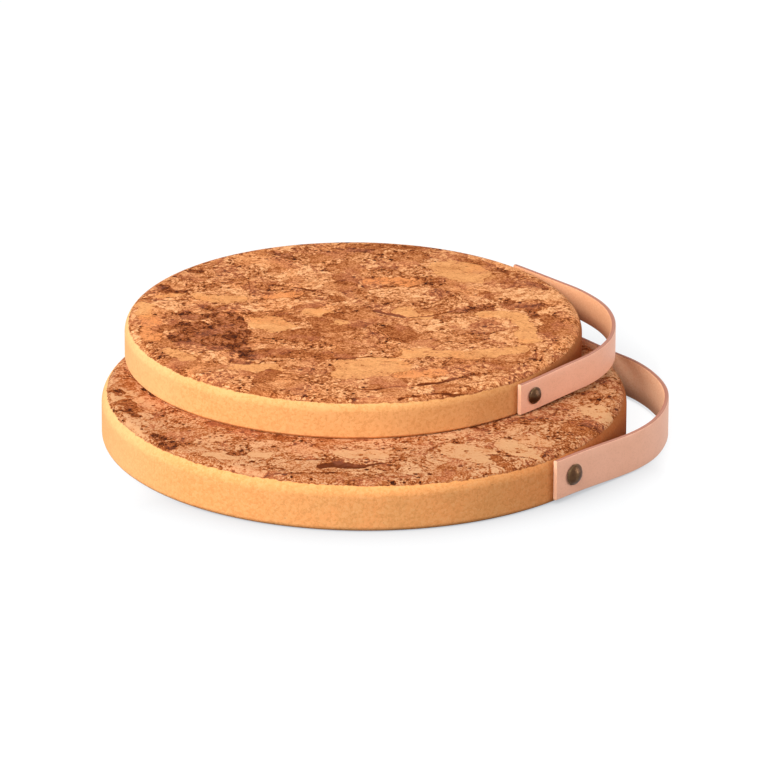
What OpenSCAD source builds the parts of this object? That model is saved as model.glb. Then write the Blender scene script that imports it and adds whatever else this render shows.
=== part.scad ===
// A set of two round cork trivets, the small one lying on the large one, each with a leather finger loop.
// The origin is the centre of the large trivet's underside. +Z is up and +X points to the loops.

/* [Large trivet] */
// Diameter of the large disc
large_d = 230; // [200:1:280]
// Thickness of the large disc, bark layers included
large_t = 22; // [19:0.5:32]
// Radius of the rounded upper rim edge of the large disc
large_round = 6.5; // [4:0.5:8]
// Radius of the lower rim edge of the large disc
large_foot_round = 2.5; // [1.5:0.5:6]
// Finger room between the large rim and the middle of its loop
large_gap = 16.5; // [12:0.5:26]
// Bare rim left below the large strap
large_foot_inset = 2; // [0.5:0.5:4]
// Bare rim left above the large strap
large_inset = 2; // [1:0.5:4]
// Angle from the middle of the loop to each cut end of the large strap
large_end_angle = 45; // [38:0.5:52]
// Length of the large strap's tail that lies along the rim
large_tail = 6; // [3:0.5:9]
// Diameter of the large stud heads
large_head_d = 9.5; // [7:0.5:13]
// Height of the large stud heads
large_head_h = 2.8; // [1.5:0.1:4]

/* [Small trivet] */
// Diameter of the small disc
small_d = 202; // [170:1:228]
// Thickness of the small disc, bark layers included
small_t = 17.5; // [16:0.5:28]
// Radius of the rounded upper rim edge of the small disc
small_round = 5.5; // [4:0.5:7]
// Radius of the lower rim edge of the small disc
small_foot_round = 1.5; // [1.5:0.5:5]
// Finger room between the small rim and the middle of its loop
small_gap = 13; // [10:0.5:22]
// Bare rim left below the small strap
small_foot_inset = 0.5; // [0.5:0.5:4]
// Bare rim left above the small strap
small_inset = 3; // [1:0.5:4]
// Angle from the middle of the loop to each cut end of the small strap
small_end_angle = 45; // [38:0.5:52]
// Length of the small strap's tail that lies along the rim
small_tail = 3.5; // [3:0.5:9]
// Diameter of the small stud heads
small_head_d = 7.6; // [6:0.2:12]
// Height of the small stud heads
small_head_h = 2.4; // [1.5:0.1:4]

/* [Stack] */
// Place of the small trivet on the large one, along the loops
stack_x = -5; // [-15:1:5]
// Place of the small trivet on the large one, across the loops
stack_y = 37.5; // [20:0.5:44]

/* [Cork] */
// Thickness of the bark layer on the top of a disc
top_bark_t = 2.6; // [0.8:0.1:3.2]
// Thickness of the bark layer on the underside of a disc
base_bark_t = 1; // [0.8:0.1:1.4]

/* [Leather] */
// Thickness of the leather
leather_t = 2; // [1.2:0.1:3]
// Distance from a strap's tail to the middle of its stud
stud_l = 5; // [3:0.5:8]

/* [Studs and plugs] */
// Diameter of the stud shanks
shank_d = 3.2; // [2:0.1:4]
// Length of a stud shank inside the disc
shank_l = 17; // [10:1:22]
// Diameter of the hardwood plugs that hold the studs
plug_d = 8; // [6:0.5:10]
// Length of the hardwood plugs
plug_l = 24; // [23:1:34]

/* [Hidden] */

// Play between the strap and the rim, and between the strap and a stud head
strap_play = 0.3;
// Play of a stud shank in the hole of the strap
hole_play = 0.3;
// Glue line round a plug, and thread play round a shank
glue_gap = 0.05;
// Depth of a plug's outer end below the rim
plug_depth = 0.5;
// Height of the straight edge under a stud's dome
head_edge = 0.5;
// Length of a shank's pointed end
point_l = 3;
// Radius left at the very point
point_r = 0.2;
// Extra length of the cuts that pass through a face
overrun = 5;

// Sides of the round shapes, all of which become true curves
$fn = 180;

CORK = "burlywood";
BARK = "peru";
HIDE = "rosybrown";
METAL = "dimgray";
WOOD = "wheat";

// The sizes of each trivet as one row, which the functions below read
LARGE = [
    large_d / 2, large_t, large_round, large_foot_round, large_gap, large_foot_inset, large_inset,
    large_end_angle, large_tail, large_head_d, large_head_h
];
SMALL = [
    small_d / 2, small_t, small_round, small_foot_round, small_gap, small_foot_inset, small_inset,
    small_end_angle, small_tail, small_head_d, small_head_h
];
function disc_r(size) = size[0];
function disc_t(size) = size[1];
function top_round(size) = size[2];
function foot_round(size) = size[3];
function finger_gap(size) = size[4];
function strap_low(size) = size[5];
function strap_high(size) = disc_t(size) - size[6];
function end_angle(size) = size[7];
function tail(size) = size[8];
function head_d(size) = size[9];
function head_h(size) = size[10];

// Height of the middle of the strap, where the studs sit
function stud_z(size) = (strap_low(size) + strap_high(size)) / 2;

// Inner and outer face of the strap where it lies along the rim
function strap_in(size) = disc_r(size) + strap_play;
function strap_out(size) = strap_in(size) + leather_t;
// Angle at which the strap leaves the rim and runs on straight
function leave_angle(size) = end_angle(size) - tail(size) / strap_out(size) * 180 / PI;
// The bow in the middle of the loop is one arc: its outermost point, its centre and its outer radius
function bow_tip(size) = disc_r(size) + finger_gap(size) + leather_t;
function bow_x(size) = (bow_tip(size) - strap_out(size)) / (1 - cos(leave_angle(size)));
function bow_r(size) = bow_tip(size) - bow_x(size);

// Half section of a disc with rounded rim edges
module disc_section(size) {
    foot = foot_round(size);
    top = top_round(size);
    upper_z = disc_t(size) - top;
    square([disc_r(size) - foot, upper_z]);
    translate([0, foot]) square([disc_r(size), upper_z - foot]);
    translate([0, foot]) square([disc_r(size) - top, disc_t(size) - foot]);
    translate([disc_r(size) - foot, foot]) circle(foot);
    translate([disc_r(size) - top, upper_z]) circle(top);
}

// The layer of a disc between two heights
module disc_layer(size, low, high) {
    rotate_extrude() intersection() {
        disc_section(size);
        translate([0, low]) square([disc_r(size), high - low]);
    }
}

// Places children at a stud: +X runs out of the disc along the stud's axis, from the rim's radius
module at_stud(size, side) {
    rotate([0, 0, side * leave_angle(size)])
        translate([disc_r(size), -side * stud_l, stud_z(size)])
            children();
}

// A round bar along X between two places
module bar_x(from, to, d) {
    translate([from, 0, 0]) rotate([0, 90, 0]) cylinder(h = to - from, d = d);
}

// The pressed cork between the bark layers, with a bore for each plug
module core(size) {
    color(CORK) difference() {
        disc_layer(size, base_bark_t, disc_t(size) - top_bark_t);
        for (side = [-1, 1]) {
            at_stud(size, side) bar_x(-plug_depth - plug_l, overrun, plug_d + glue_gap * 2);
        }
    }
}

module top_bark(size) {
    color(BARK) disc_layer(size, disc_t(size) - top_bark_t, disc_t(size));
}

module base_bark(size) {
    color(BARK) disc_layer(size, 0, base_bark_t);
}

// The area inside one face of the strap: the rim's circle, the two straight legs and the bow
module loop_area(size, rim_face_r, bow_face_r) {
    a = leave_angle(size);
    circle(rim_face_r);
    translate([bow_x(size), 0]) circle(bow_face_r);
    polygon([
        [rim_face_r * cos(a), -rim_face_r * sin(a)],
        [bow_x(size) + bow_face_r * cos(a), -bow_face_r * sin(a)],
        [bow_x(size) + bow_face_r * cos(a), bow_face_r * sin(a)],
        [rim_face_r * cos(a), rim_face_r * sin(a)]
    ]);
}

// The sector between the two cut ends of the strap
module strap_sector(size) {
    a = end_angle(size);
    reach = bow_tip(size) * 2;
    polygon([
        [0, 0],
        [reach * cos(a), -reach * sin(a)],
        [reach, -reach * sin(a)],
        [reach, reach * sin(a)],
        [reach * cos(a), reach * sin(a)]
    ]);
}

// One strip of leather on edge, with a hole for each stud
module strap(size) {
    width = strap_high(size) - strap_low(size);
    color(HIDE) difference() {
        translate([0, 0, strap_low(size)]) linear_extrude(width) intersection() {
            difference() {
                loop_area(size, strap_out(size), bow_r(size));
                loop_area(size, strap_in(size), bow_r(size) - leather_t);
            }
            strap_sector(size);
        }
        for (side = [-1, 1]) {
            at_stud(size, side) bar_x(-overrun, overrun * 2, shank_d + hole_play * 2);
        }
    }
}

// Half section of a stud along +Y, from its point to the top of its dome
module stud_section(size) {
    head_r = head_d(size) / 2;
    seat = strap_play * 2 + leather_t;
    dome_y = seat + head_edge;
    dome_h = head_h(size) - head_edge;
    ball_r = (pow(head_r, 2) + pow(dome_h, 2)) / (dome_h * 2);
    polygon([
        [0, -shank_l], [point_r, -shank_l], [shank_d / 2, point_l - shank_l],
        [shank_d / 2, seat], [head_r, seat], [head_r, dome_y], [0, dome_y]
    ]);
    intersection() {
        translate([0, dome_y + dome_h - ball_r]) circle(ball_r);
        translate([0, dome_y]) square([head_r, dome_h + overrun]);
    }
}

module stud(size, side) {
    color(METAL) at_stud(size, side) rotate([0, 90, 0]) rotate_extrude() stud_section(size);
}

// A glued-in plug, bored for the shank of its stud
module plug(size, side) {
    color(WOOD) at_stud(size, side) difference() {
        bar_x(-plug_depth - plug_l, -plug_depth, plug_d);
        bar_x(-shank_l, overrun, shank_d + glue_gap * 2);
    }
}

// Lifts the small trivet onto the large one
module on_top() {
    translate([stack_x, stack_y, large_t]) children();
}

core(LARGE);  // large_core
top_bark(LARGE);  // large_top_bark
base_bark(LARGE);  // large_base_bark
strap(LARGE);  // large_strap
stud(LARGE, -1);  // large_front_stud
stud(LARGE, 1);  // large_back_stud
plug(LARGE, -1);  // large_front_plug
plug(LARGE, 1);  // large_back_plug
on_top() core(SMALL);  // small_core
on_top() top_bark(SMALL);  // small_top_bark
on_top() base_bark(SMALL);  // small_base_bark
on_top() strap(SMALL);  // small_strap
on_top() stud(SMALL, -1);  // small_front_stud
on_top() stud(SMALL, 1);  // small_back_stud
on_top() plug(SMALL, -1);  // small_front_plug
on_top() plug(SMALL, 1);  // small_back_plug
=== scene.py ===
"""Dresses a stacked pair of cork trivets: turned cork discs, bark faces, leather finger loops and studs."""

import functools
import math

import bpy
import numpy as np
from bpy.props import FloatProperty, FloatVectorProperty, IntProperty, PointerProperty
from mathutils import Matrix, Vector, noise


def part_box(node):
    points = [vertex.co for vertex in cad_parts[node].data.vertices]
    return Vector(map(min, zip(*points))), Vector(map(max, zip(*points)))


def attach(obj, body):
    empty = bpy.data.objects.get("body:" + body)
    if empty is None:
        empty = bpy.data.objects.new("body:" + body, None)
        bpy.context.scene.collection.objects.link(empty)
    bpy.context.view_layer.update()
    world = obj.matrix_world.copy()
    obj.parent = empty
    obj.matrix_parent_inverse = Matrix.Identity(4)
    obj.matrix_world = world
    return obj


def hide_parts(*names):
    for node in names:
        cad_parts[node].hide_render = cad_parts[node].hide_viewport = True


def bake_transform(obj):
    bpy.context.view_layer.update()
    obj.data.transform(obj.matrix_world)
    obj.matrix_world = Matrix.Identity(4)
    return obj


bl_info = {
    "name": "Cork trivet set",
    "version": (1, 0, 0),
    "blender": (4, 5, 0),
    "location": "3D View > Sidebar > Trivets",
    "description": "Makes the cork, bark, leather and brass of a pair of trivets around their solid parts",
    "category": "Object",
}

MM = 0.001
TRIVETS = ("large", "small")
SIDES = {"front": -1, "back": 1}

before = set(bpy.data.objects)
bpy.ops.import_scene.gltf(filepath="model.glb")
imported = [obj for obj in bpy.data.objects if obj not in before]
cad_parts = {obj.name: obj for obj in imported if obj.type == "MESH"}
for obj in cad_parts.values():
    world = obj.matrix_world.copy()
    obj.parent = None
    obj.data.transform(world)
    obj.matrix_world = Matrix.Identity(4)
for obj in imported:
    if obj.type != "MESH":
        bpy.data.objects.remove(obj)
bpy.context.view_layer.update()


def tint(red, green, blue):
    """The linear colour of a shade named as it looks on a screen, from 0 to 255."""
    shares = (channel / 255 for channel in (red, green, blue))
    return tuple(s / 12.92 if s <= 0.04045 else ((s + 0.055) / 1.055) ** 2.4 for s in shares)


class Trivet:
    """The sizes and the place of one trivet, taken from its solid parts."""

    def __init__(self, name):
        settings = bpy.context.scene.trivet_sizes
        self.name = name
        self.body = f"{name}_trivet"
        self.loop = f"{name}_loop"
        core_low, core_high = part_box(f"{name}_core")
        base_low, base_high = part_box(f"{name}_base_bark")
        bark_low, bark_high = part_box(f"{name}_top_bark")
        strap_low, strap_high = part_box(f"{name}_strap")
        head_low, head_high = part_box(f"{name}_front_stud")
        spans = core_high - core_low
        middle = (core_low + core_high) / 2
        self.radius = max(spans.x, spans.y) / 2
        self.centre = Vector((middle.x, middle.y, base_low.z))
        self.thickness = bark_high.z - base_low.z
        self.top_bark = bark_high.z - bark_low.z
        self.base_bark = base_high.z - base_low.z
        self.top_edge = getattr(settings, f"{name}_edge")
        self.foot_edge = getattr(settings, f"{name}_foot")
        self.strap_middle = (strap_low.z + strap_high.z) / 2 - base_low.z
        self.strap_width = strap_high.z - strap_low.z
        self.strap_in = self.radius + settings.strap_play
        self.strap_out = self.strap_in + settings.leather
        self.bow_tip = strap_high.x - self.centre.x
        self.bow_rise = getattr(settings, f"{name}_bow_rise")
        self.back_rise = getattr(settings, f"{name}_back_rise")
        self.end_angle = math.asin((strap_high.y - strap_low.y) / 2 / self.strap_out)
        self.leave_angle = self.end_angle - getattr(settings, f"{name}_tail") / self.strap_out
        self.bow_x = (self.bow_tip - self.strap_out) / (1 - math.cos(self.leave_angle))
        self.head_radius = (head_high.z - head_low.z) / 2
        self.head_height = getattr(settings, f"{name}_head")
        self.cork = tuple(getattr(bpy.context.scene.trivet_finish, f"{name}_cork"))

    def stud_place(self, side):
        """The matrix that puts a stud turned about Z, with Z = 0 at the rim, into its place on one side."""
        turn = Matrix.Rotation(side * self.leave_angle, 4, "Z")
        settings = bpy.context.scene.trivet_sizes
        seat = Vector((self.radius, -side * settings.stud_step, self.strap_middle))
        lay = Matrix.Rotation(math.pi / 2, 4, "Y")
        return Matrix.Translation(self.centre) @ turn @ Matrix.Translation(seat) @ lay


def math_method(operation, swapped=False):
    """A method for Field that adds the math node for an operator between it and another field or number."""

    def method(field, other):
        values = (other, field) if swapped else (field, other)
        return field.graph.math(operation, *values)

    return method


class Field:
    """One output of a node. Arithmetic and comparisons with it add the nodes that work them out."""

    def __init__(self, graph, socket):
        self.graph = graph
        self.socket = socket

    __add__ = math_method("ADD")
    __radd__ = math_method("ADD", swapped=True)
    __sub__ = math_method("SUBTRACT")
    __rsub__ = math_method("SUBTRACT", swapped=True)
    __mul__ = math_method("MULTIPLY")
    __rmul__ = math_method("MULTIPLY", swapped=True)
    __truediv__ = math_method("DIVIDE")
    __lt__ = math_method("LESS_THAN")
    __gt__ = math_method("GREATER_THAN")

    def __abs__(self):
        return self.graph.math("ABSOLUTE", self)

    def towards(self, target, share):
        """This value moved towards a target by a share of the way."""
        return self + (target - self) * share


class Graph:
    """Adds nodes to a shader or geometry tree. An input takes a plain value or a field."""

    def __init__(self, tree):
        self.tree = tree

    def node(self, kind, inputs=None, **settings):
        made = self.tree.nodes.new(kind)
        for name, value in settings.items():
            setattr(made, name, value)
        for key, value in (inputs or {}).items():
            self.feed(made.inputs[key], value)
        return made

    def get(self, kind, inputs=None, output=0, **settings):
        """The field of one output of a new node."""
        return Field(self, self.node(kind, inputs, **settings).outputs[output])

    def fields(self, node):
        return {socket.name: Field(self, socket) for socket in node.outputs}

    def feed(self, socket, value):
        if isinstance(value, Field):
            self.tree.links.new(value.socket, socket)
        elif isinstance(value, tuple) and socket.type == "RGBA" and len(value) == 3:
            socket.default_value = (*value, 1)
        else:
            socket.default_value = value

    def math(self, operation, *values):
        return self.get("ShaderNodeMath", dict(enumerate(values)), operation=operation)

    def most(self, first, second):
        return self.math("MAXIMUM", first, second)

    def vector(self, operation, *values):
        output = "Value" if operation == "DISTANCE" else "Vector"
        return self.get("ShaderNodeVectorMath", dict(enumerate(values)), output, operation=operation)

    def scaled(self, vector, factor):
        return self.get("ShaderNodeVectorMath", {0: vector, "Scale": factor}, "Vector", operation="SCALE")

    def axes(self, vector):
        return list(self.fields(self.node("ShaderNodeSeparateXYZ", {"Vector": vector})).values())

    def combine(self, x, y, z):
        return self.get("ShaderNodeCombineXYZ", {"X": x, "Y": y, "Z": z})

    def blend(self, factor, first, second, blend_type="MIX"):
        """A colour between first and second."""
        inputs = {0: factor, 6: first, 7: second}
        return self.get("ShaderNodeMix", inputs, 2, data_type="RGBA", blend_type=blend_type)

    def step(self, value, low, high, to_low=0.0, to_high=1.0):
        """A smooth step of value from low to high."""
        inputs = {"Value": value, "From Min": low, "From Max": high, "To Min": to_low, "To Max": to_high}
        return self.get("ShaderNodeMapRange", inputs, interpolation_type="SMOOTHSTEP")

    def noise(self, vector, size, detail=3.0, roughness=0.55, distortion=0.0, output="Fac"):
        """Noise whose features are about size across, in the vector's own unit."""
        inputs = {"Vector": vector, "Scale": 1 / size, "Detail": detail}
        inputs.update({"Roughness": roughness, "Distortion": distortion})
        return self.get("ShaderNodeTexNoise", inputs, output)

    def noise_push(self, vector, size, detail):
        """A vector of noise, by up to a half each way."""
        return self.vector("SUBTRACT", self.noise(vector, size, detail, output="Color"), (0.5, 0.5, 0.5))

    def cells(self, vector, size):
        """Cells about size across: the distance from each cell's middle, and three numbers for the cell."""
        cell = self.fields(self.node("ShaderNodeTexVoronoi", {"Vector": vector, "Scale": 1 / size}))
        return cell["Distance"], self.axes(cell["Color"])

    def cell_edge(self, vector, size):
        """How far each place is from the edge of its cell, in the vector's own unit."""
        inputs = {"Vector": vector, "Scale": 1 / size}
        return self.get("ShaderNodeTexVoronoi", inputs, "Distance", feature="DISTANCE_TO_EDGE") * size

    def warp(self, vector, size, reach, detail=2.0):
        """The vector pushed about by noise, by up to half of reach each way."""
        return self.vector("ADD", vector, self.scaled(self.noise_push(vector, size, detail), reach))

    def specks(self, vector, spacing, radius, share):
        """A mask of round specks: one for each share of the cells, up to radius in size."""
        distance, chance = self.cells(vector, spacing)
        reach = radius * (0.45 + chance[1] * 0.55)
        return self.step(distance * spacing, reach, reach * 0.7) * (chance[0] < share)

    def attribute(self, label, output="Fac"):
        """What a mesh keeps under a name."""
        return self.get("ShaderNodeAttribute", output=output, attribute_name=label)

    def group(self, tree, inputs):
        """The outputs of a node group that is fed with these inputs."""
        return self.fields(self.node("ShaderNodeGroup", inputs, node_tree=tree))


def kept_tree(name):
    """Has a function make its node tree on the first call, and hand out the same one after that."""

    def wrap(build):
        @functools.wraps(build)
        def get():
            return bpy.data.node_groups.get(name) or build(name)

        return get

    return wrap


def open_tree(name, kind, inputs, outputs):
    """A node tree with these sockets, its graph, the fields of its inputs and the sockets of its outputs."""
    tree = bpy.data.node_groups.new(name, kind)
    for in_out, sockets in (("INPUT", inputs), ("OUTPUT", outputs)):
        for label, socket in sockets.items():
            tree.interface.new_socket(label, in_out=in_out, socket_type=f"NodeSocket{socket}")
    graph = Graph(tree)
    return tree, graph, graph.fields(graph.node("NodeGroupInput")), graph.node("NodeGroupOutput").inputs


@kept_tree("Mottle")
def mottle_group(name):
    """Cloudy variation between a low and a high value."""
    inputs = {"Vector": "Vector", "Size": "Float", "Low": "Float", "High": "Float"}
    tree, graph, given, out = open_tree(name, "ShaderNodeTree", inputs, {"Value": "Float"})
    size = given["Size"]
    place = graph.vector("DIVIDE", given["Vector"], graph.combine(size, size, size))
    cloud = graph.noise(place, 1.0, 4.0, 0.6)
    graph.feed(out["Value"], graph.step(cloud, 0.3, 0.7, given["Low"], given["High"]))
    return tree


@kept_tree("Granules")
def granule_group(name):
    """Close-packed granules: a tone for each one, and the height of the surface over them."""
    inputs = {"Vector": "Vector", "Size": "Float"}
    outputs = {"Tone": "Float", "Height": "Float"}
    tree, graph, given, out = open_tree(name, "ShaderNodeTree", inputs, outputs)
    size = given["Size"]
    loose = graph.warp(graph.vector("DIVIDE", given["Vector"], graph.combine(size, size, size)), 0.8, 0.5)
    coarse, coarse_tones = graph.cells(loose, 1.0)
    fine, fine_tones = graph.cells(loose, 0.43)
    graph.feed(out["Tone"], coarse_tones[0] * 0.6 + fine_tones[0] * 0.4)
    graph.feed(out["Height"], 1.0 - (coarse + fine * 0.6))
    return tree


def open_material(name, roughness, **plain):
    """A material with a Principled shader, its graph, the shader and object coordinates in millimetres."""
    made = bpy.data.materials.new(name)
    made.use_nodes = True
    graph = Graph(made.node_tree)
    shader = made.node_tree.nodes["Principled BSDF"]
    shader.inputs["Roughness"].default_value = roughness
    for label, value in plain.items():
        shader.inputs[label.replace("_", " ").title().replace("Ior", "IOR")].default_value = value
    place = graph.get("ShaderNodeTexCoord", output="Object")
    return made, graph, shader, graph.scaled(place, 1 / MM)


def bump(graph, shader, height, distance, strength=1.0):
    """Feeds a height, whose unit is distance, to the shader as its normal."""
    inputs = {"Height": height, "Strength": strength, "Distance": distance}
    graph.feed(shader.inputs["Normal"], graph.get("ShaderNodeBump", inputs, "Normal"))


# How patches of bark are bordered: how far, in mm, the border wanders and over how much it fades
PATCH_BORDERS = {
    "dark": (5.5, 0.4),
    "brown": (6.0, 0.35),
    "rust": (8.0, 0.7),
    "orange": (8.0, 0.8),
    "pale": (6.5, 0.3),
    "vein": (2.4, 0.3),
}
PATCH_REACH = 12.0

# The tone of each kind of patch, from low to high, and how much of the patch takes it
PATCH_TONES = {
    "pale": (0.69, 0.85, 0.66),
    "orange": (0.62, 0.8, 0.6),
    "rust": (0.44, 0.6, 0.7),
    "brown": (0.34, 0.5, 0.84),
}

# The bark's edge is sanded away by this many mm, but less round an azimuth, in degrees, where it is thick
SANDED_DEPTH = 1.3
THICK_BARK_AZIMUTH = -20.0
THICK_BARK_SPREAD = 52.0

# Shades of cork bark from its darkest crust to its palest wood, each with its brightness as a share
BARK_SHADES = {
    0.00: tint(52, 23, 12),
    0.12: tint(92, 41, 17),
    0.24: tint(120, 57, 23),
    0.36: tint(146, 76, 35),
    0.47: tint(169, 96, 51),
    0.57: tint(188, 116, 68),
    0.66: tint(204, 134, 86),
    0.75: tint(216, 147, 95),
    0.85: tint(226, 159, 106),
    0.93: tint(236, 170, 116),
    1.00: tint(246, 184, 132),
}
BARK_ORANGE = tint(238, 140, 70)
BARK_GOLD = tint(243, 176, 100)
BARK_MAUVE = tint(150, 92, 82)
BARK_ROSE = tint(206, 126, 96)
BARK_BEIGE = tint(203, 158, 118)

# How far the pale wood of each trivet's bark has gone beige
AGE = {"large": 0.65, "small": 0.0}


@kept_tree("Cork bark")
def bark_group(name):
    """Natural cork bark, sliced thin: a mosaic of pieces with pores, growth lines and dark outer crust."""
    inputs = {"Vector": "Vector", "Seed": "Float", "Age": "Float"}
    inputs.update({kind.title(): "Float" for kind in PATCH_BORDERS})
    tree, graph, given, out = open_tree(name, "ShaderNodeTree", inputs, {"Color": "Color", "Height": "Float"})
    seed, age = given["Seed"], given["Age"]
    place = graph.vector("ADD", given["Vector"], graph.combine(seed * 137.0, seed * 71.0, seed))
    wide = graph.warp(place, 28.0, 16.0)
    loose = graph.warp(wide, 8.0, 5.0, 3.0)
    crisp = graph.warp(loose, 2.6, 1.3, 3.0)

    torn = graph.noise(wide, 4.5, 3.5, 0.6) - 0.5
    masks = {}
    for kind, (wander, fade) in PATCH_BORDERS.items():
        masks[kind] = graph.step(given[kind.title()] + torn * wander, -fade, fade)
    dark, pale, orange, vein = (masks[kind] for kind in ("dark", "pale", "orange", "vein"))

    _, choice = graph.cells(loose, 13.0)
    _, chip_choice = graph.cells(crisp, 5.5)
    cloud = graph.noise(wide, 10.0, 4.0, 0.6)
    grain = graph.noise(crisp, 2.2, 5.0, 0.7)
    fine = graph.noise(graph.warp(place, 1.5, 1.0), 0.75, 2.0, 0.6)
    smooth_piece = choice[1] < 0.2
    lined_piece = (choice[1] > 0.2) * (choice[1] < 0.45)
    crumbly_piece = choice[1] > 0.62

    patched = graph.most(pale * 0.72, orange * 0.5)
    calm = graph.most(patched, graph.most(smooth_piece, masks["brown"]) * 0.6)
    busy = 1.0 - calm
    dotted = 1.0 - calm * (1.0 - age)
    tone = 0.68 - age * 0.13 + (choice[0] - 0.5) * 0.28
    tone = tone.towards(0.54, smooth_piece * 0.7)
    tone += (chip_choice[0] - 0.5) * 0.18
    tone += (cloud - 0.5) * 0.5
    swell = graph.noise(loose, 6.0, 2.0)
    for kind, (low, high, share) in PATCH_TONES.items():
        tone = tone.towards(graph.step(swell, 0.3, 0.7, low, high), masks[kind] * share)

    lively = busy * graph.step(age, 0.0, 1.0, 1.0, 0.6)
    tone += (grain - 0.5) * (lively * 1.2)
    _, grit = graph.cells(crisp, 1.7)
    tone += (grit[0] - 0.5) * (lively * (0.27 + crumbly_piece * 0.2))
    tone += (fine - 0.5) * (1.0 - patched * 0.7)
    flecks = graph.noise(graph.warp(place, 2.0, 1.2), 1.5, 1.0, 0.5)
    tone += graph.step(flecks, 0.55, 0.61) * busy * (0.1 + crumbly_piece * 0.08)
    for kind in PATCH_TONES:
        tone += masks[kind] * (1.0 - masks[kind]) * -0.7

    turn = {"Vector": loose, "Angle": choice[2] * math.pi}
    turned = graph.get("ShaderNodeVectorRotate", turn, rotation_type="Z_AXIS")
    growth = graph.noise(graph.vector("MULTIPLY", turned, (0.14, 1.0, 1.0)), 1.5, 2.0)
    lines = graph.step(growth, 0.54, 0.62) * lined_piece * busy
    contour = graph.noise(loose, 3.6, 2.0, 0.5)
    rings = graph.step(abs(contour - 0.5), 0.04, 0.012) * graph.step(cloud, 0.44, 0.54) * busy
    tone += lines * -0.2
    tone += rings * -0.12

    crowd = graph.step(graph.noise(place, 14.0, 2.0), 0.36, 0.54)
    pores = graph.specks(graph.warp(place, 2.6, 1.2), 4.4, 1.45, 0.62) * crowd * dotted
    pinholes = graph.specks(graph.warp(place, 1.6, 0.8), 2.2, 0.8, 0.7)
    pinholes = pinholes * graph.step(crowd, -0.5, 1.0) * (1.0 - calm * 0.8)
    spots = graph.specks(graph.warp(place, 3.4, 1.8), 6.4, 2.0, 0.6)
    crumbs = graph.noise(graph.warp(place, 1.2, 1.0), 1.3, 2.0, 0.6)
    crumbs = graph.step(crumbs, 0.54, 0.6) * (crumbly_piece * 0.8 + 0.2) * busy
    holes = graph.most(pores, pinholes * 0.8)
    broken = graph.step(graph.noise(place, 8.0, 2.0), 0.46, 0.54)
    seams = graph.step(graph.cell_edge(loose, 13.0), 0.6, 0.2) * broken * busy
    tone += spots * age * -0.34
    tone += holes * -0.5
    tone += crumbs * -0.2
    tone += seams * -0.2

    crust = graph.noise(crisp, 1.6, 4.0, 0.72) * 0.6 + graph.noise(loose, 5.0, 2.0) * 0.4
    flakes = graph.step(graph.cell_edge(crisp, 2.0), 0.3, 0.05)
    tone = tone.towards(graph.step(crust, 0.38, 0.6, 0.04, 0.64) + flakes * -0.22, dark * 0.9)
    tone = tone.towards(0.10, vein * 0.9)

    ramp = graph.node("ShaderNodeValToRGB", {"Fac": tone})
    stops = ramp.color_ramp.elements
    while len(stops) < len(BARK_SHADES):
        stops.new(0.5)
    for stop, (position, shade) in zip(stops, BARK_SHADES.items()):
        stop.position = position
        stop.color = (*shade, 1)
    light = graph.step(tone, 0.5, 0.7)
    warm = graph.step(graph.noise(wide, 17.0, 2.0), 0.5, 0.66)
    rosy = graph.step(graph.noise(loose, 13.0, 2.0), 0.5, 0.62) * graph.step(tone, 0.75, 0.6)
    color = Field(graph, ramp.outputs["Color"])
    color = graph.blend(orange * light * 0.4, color, BARK_ORANGE)
    color = graph.blend(pale * light * 0.25, color, BARK_GOLD)
    color = graph.blend(warm * light * 0.2, color, BARK_ORANGE)
    color = graph.blend(rosy * 0.2, color, BARK_ROSE)
    color = graph.blend(age * light, color, BARK_BEIGE)
    color = graph.blend(dark * graph.step(crust, 0.5, 0.6) * 0.22, color, BARK_MAUVE)
    graph.feed(out["Color"], color)

    dents = holes * 0.8 + vein + dark * graph.step(crust, 0.35, 0.65) + graph.most(seams, lines) * 0.6
    graph.feed(out["Height"], grain * 0.9 - dents)
    return tree


def side_share(graph, place, trivet):
    """Where a place lies along X, from -1 at the rim opposite the loop to 1 at the rim under it."""
    return (graph.axes(place)[0] - trivet.centre.x / MM) / (trivet.radius / MM)


@kept_tree("Pressed cork")
def cork_group(name):
    """Fine cork granules, pressed and sanded, with faint upright sanding marks; painted shade darkens the rim
    towards the loop's side, and a painted highlight pales it on the opposite side.
    """
    inputs = {"Vector": "Vector", "Ground": "Color", "Side": "Float"}
    tree, graph, given, out = open_tree(name, "ShaderNodeTree", inputs, {"Color": "Color", "Height": "Float"})
    place, side = given["Vector"], given["Side"]
    granules = graph.group(granule_group(), {"Vector": place, "Size": 1.1})
    clouds = graph.group(mottle_group(), {"Vector": place, "Size": 16.0, "Low": 0.0, "High": 0.6})
    marks = graph.noise(graph.vector("MULTIPLY", place, (1.0, 1.0, 0.13)), 1.1, 3.0, 0.6)
    dots = graph.specks(place, 4.2, 0.5, 0.18)
    color = graph.blend(clouds["Value"], given["Ground"], tint(232, 165, 100))
    color = graph.blend(graph.step(granules["Tone"], 0.5, 0.85) * 0.35, color, tint(247, 190, 128))
    color = graph.blend(graph.step(granules["Tone"], 0.48, 0.2) * 0.36, color, tint(208, 138, 76))
    color = graph.blend(graph.step(marks, 0.56, 0.7) * 0.16, color, tint(208, 138, 80))
    color = graph.blend(dots * 0.4, color, tint(168, 106, 60))
    # Painted shade: the rim darkens in two steps towards the side under the loop.
    for low, high, shade in ((0.0, 0.95, (0.70, 0.61, 0.58)), (0.64, 0.88, (0.58, 0.46, 0.42))):
        color = graph.blend(graph.step(side, low, high), color, graph.blend(1.0, color, shade, "MULTIPLY"))
    # Painted highlight: the rim turns paler and yellower towards the side opposite the loop.
    color = graph.blend(graph.step(side, -0.62, -1.0, 0.0, 0.36), color, tint(252, 204, 146))
    graph.feed(out["Color"], color)
    graph.feed(out["Height"], granules["Height"] + marks * 0.5)
    return tree


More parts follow.
